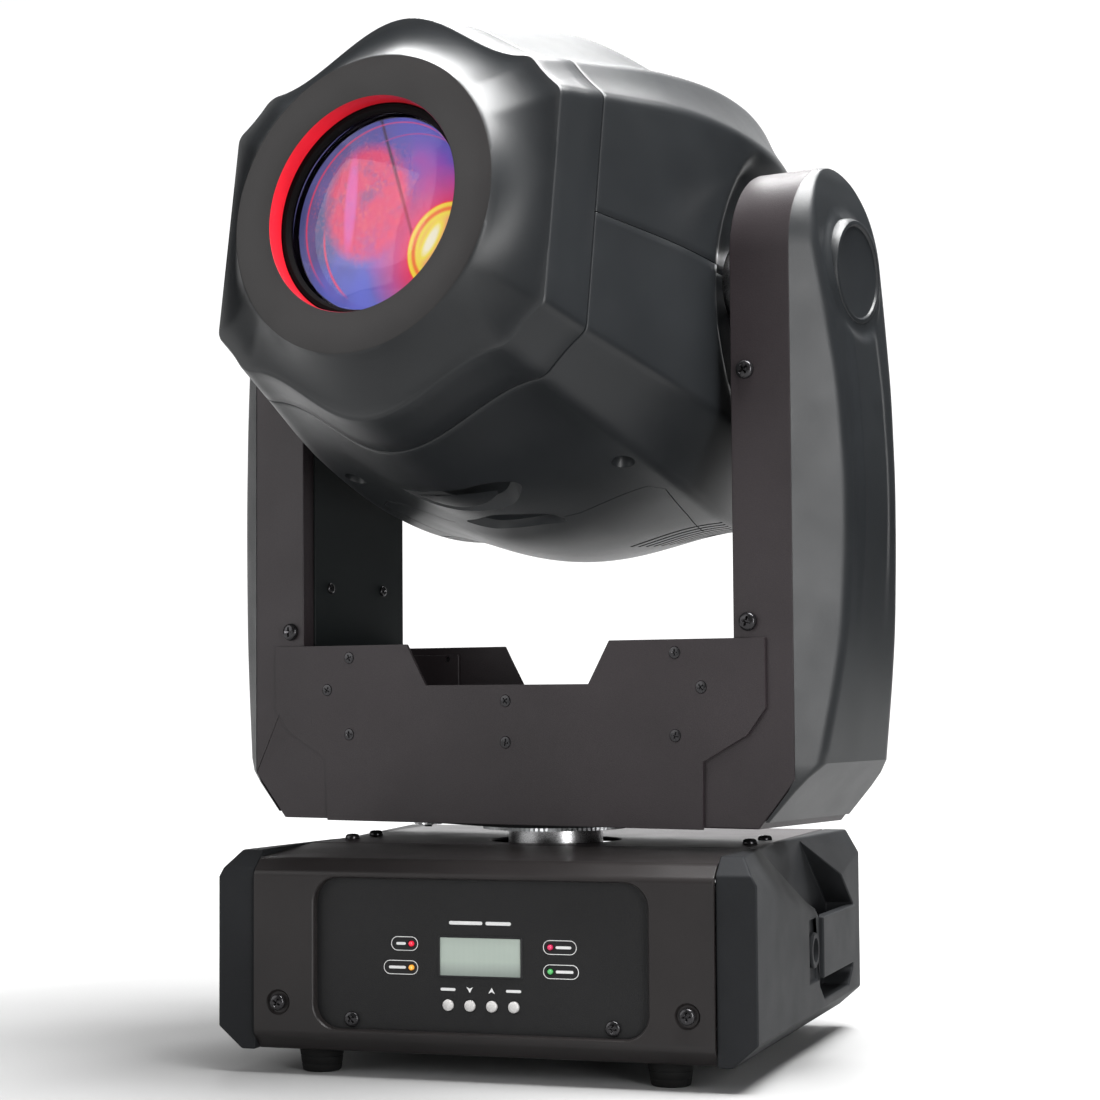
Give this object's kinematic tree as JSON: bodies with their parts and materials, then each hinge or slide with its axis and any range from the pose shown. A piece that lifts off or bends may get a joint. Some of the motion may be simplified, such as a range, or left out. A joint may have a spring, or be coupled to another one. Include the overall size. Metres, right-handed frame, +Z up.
{
  "type": "moving head light",
  "caption": "Moving head stage light: base with control panel, turning yoke, and a tilting head that houses lamp, filters, focus and fan.",
  "frame": {"origin": "on the pan axis, at the level of the undersides of the feet", "axes": "+Z up, the base's front and control panel towards -Y, +X to the right as seen from the front of the panel"},
  "size_m": [0.4486, 0.4404, 0.6487],
  "materials": {
    "steel": "zinc-plated sheet",
    "powder_coat": "fine matt powder coat",
    "casing": "fine textured charcoal",
    "black_plastic": "fine textured black",
    "display_window": "grey-green liquid crystal under a clear window",
    "lamps": "clear coloured",
    "circuit_board": "solder mask",
    "keys": "silvery",
    "rubber": "matt",
    "belt": "matt",
    "screws": "glossy black",
    "alloy": "turned",
    "bearing_steel": "ground",
    "motor": "black",
    "black_metal": "matt black",
    "lens": "coated"
  },
  "bodies": {
    "base": {"chassis_tray": "steel", "top_cover": "powder_coat", "front_cover": "casing", "rear_panel": "powder_coat", "side_cover_left": "casing", "side_cover_right": "casing", "handles": "casing", "control_panel": "black_plastic", "display": "display_window", "status_lamps": "lamps", "control_board": "circuit_board", "feet": "rubber", "base_screws": "screws", "power_inlet": "black_plastic", "data_sockets": "black_plastic", "power_supply": "alloy", "pan_post": "alloy", "pan_pulley": "steel", "pan_nut": "steel"},
    "key_menu": {"button_menu": "keys"},
    "key_down": {"button_down": "keys"},
    "key_up": {"button_up": "keys"},
    "key_enter": {"button_enter": "keys"},
    "yoke": {"arm_frame_left": "powder_coat", "arm_frame_right": "powder_coat", "arm_cover_left": "casing", "arm_cover_right": "casing", "inner_panels": "casing", "cross_plate_front": "powder_coat", "cross_plate_rear": "powder_coat", "yoke_floor": "powder_coat", "pan_bearing": "bearing_steel", "pan_motor": "motor", "pan_belt": "belt", "tilt_motor": "motor", "tilt_belt": "belt", "tilt_bearings": "bearing_steel", "yoke_screws": "screws"},
    "pan_drive": {"pan_drive_pulley": "alloy"},
    "tilt_drive": {"tilt_drive_pulley": "alloy"},
    "head": {"front_bezel": "casing", "lens_hood": "black_metal", "front_lens": "lens", "upper_shell": "casing", "lower_shell": "casing", "rear_grille": "black_plastic", "head_frame": "steel", "tilt_hubs": "alloy", "tilt_pulley": "alloy", "led_engine": "circuit_board", "heatsink": "alloy", "fan_frame": "black_plastic", "head_screws": "screws"},
    "fan": {"fan_rotor": "casing"},
    "colour_filters": {"colour_wheel": "alloy"},
    "patterns": {"gobo_wheel": "steel"},
    "focus": {"focus_carriage": "black_metal"}
  },
  "joints": [
    {"name": "pan", "type": "hinge", "parent": "base", "child": "yoke", "pos_m": [0, 0, 0.16], "axis": [0, 0, 1], "range_deg": [-256.6, 283.4]},
    {"name": "tilt", "type": "hinge", "parent": "yoke", "child": "head", "pos_m": [0, 0, 0.47], "axis": [-0.9728, 0.2317, 0], "range_deg": [-51.6, 213.4]},
    {"name": "pan_drive_spin", "type": "hinge", "parent": "yoke", "child": "pan_drive", "pos_m": [-0.09533, 0.02271, 0.144], "axis": [0, 0, 1], "range_deg": [-1418, 1284]},
    {"name": "tilt_drive_spin", "type": "hinge", "parent": "yoke", "child": "tilt_drive", "pos_m": [0.17996, -0.04287, 0.268], "axis": [-0.9728, 0.2317, 0], "range_deg": [-241, 996]},
    {"name": "fan_spin", "type": "hinge", "parent": "head", "child": "fan", "pos_m": [0.01831, 0.07684, 0.45735], "axis": [-0.2288, -0.9605, 0.1582], "continuous": true},
    {"name": "colour_turn", "type": "hinge", "parent": "head", "child": "colour_filters", "pos_m": [-0.04017, -0.0219, 0.4749], "axis": [-0.2288, -0.9605, 0.1582], "continuous": true},
    {"name": "pattern_turn", "type": "hinge", "parent": "head", "child": "patterns", "pos_m": [-0.04291, -0.03342, 0.4768], "axis": [-0.2288, -0.9605, 0.1582], "continuous": true},
    {"name": "focus_slide", "type": "slide", "parent": "head", "child": "focus", "axis": [-0.2288, -0.9605, 0.1582], "range_m": [-0.03, 0.03]},
    {"name": "press_menu", "type": "slide", "parent": "base", "child": "key_menu", "axis": [0, 1, 0], "range_m": [0, 0.0006], "stiffness_N_per_m": 600, "springref_m": -0.0006},
    {"name": "press_down", "type": "slide", "parent": "base", "child": "key_down", "axis": [0, 1, 0], "range_m": [0, 0.0006], "stiffness_N_per_m": 600, "springref_m": -0.0006},
    {"name": "press_up", "type": "slide", "parent": "base", "child": "key_up", "axis": [0, 1, 0], "range_m": [0, 0.0006], "stiffness_N_per_m": 600, "springref_m": -0.0006},
    {"name": "press_enter", "type": "slide", "parent": "base", "child": "key_enter", "axis": [0, 1, 0], "range_m": [0, 0.0006], "stiffness_N_per_m": 600, "springref_m": -0.0006}
  ],
  "couplings": [
    {"joint": "pan_drive_spin", "follows": "pan", "ratio": -5},
    {"joint": "tilt_drive_spin", "follows": "tilt", "ratio": 4.6667}
  ]
}
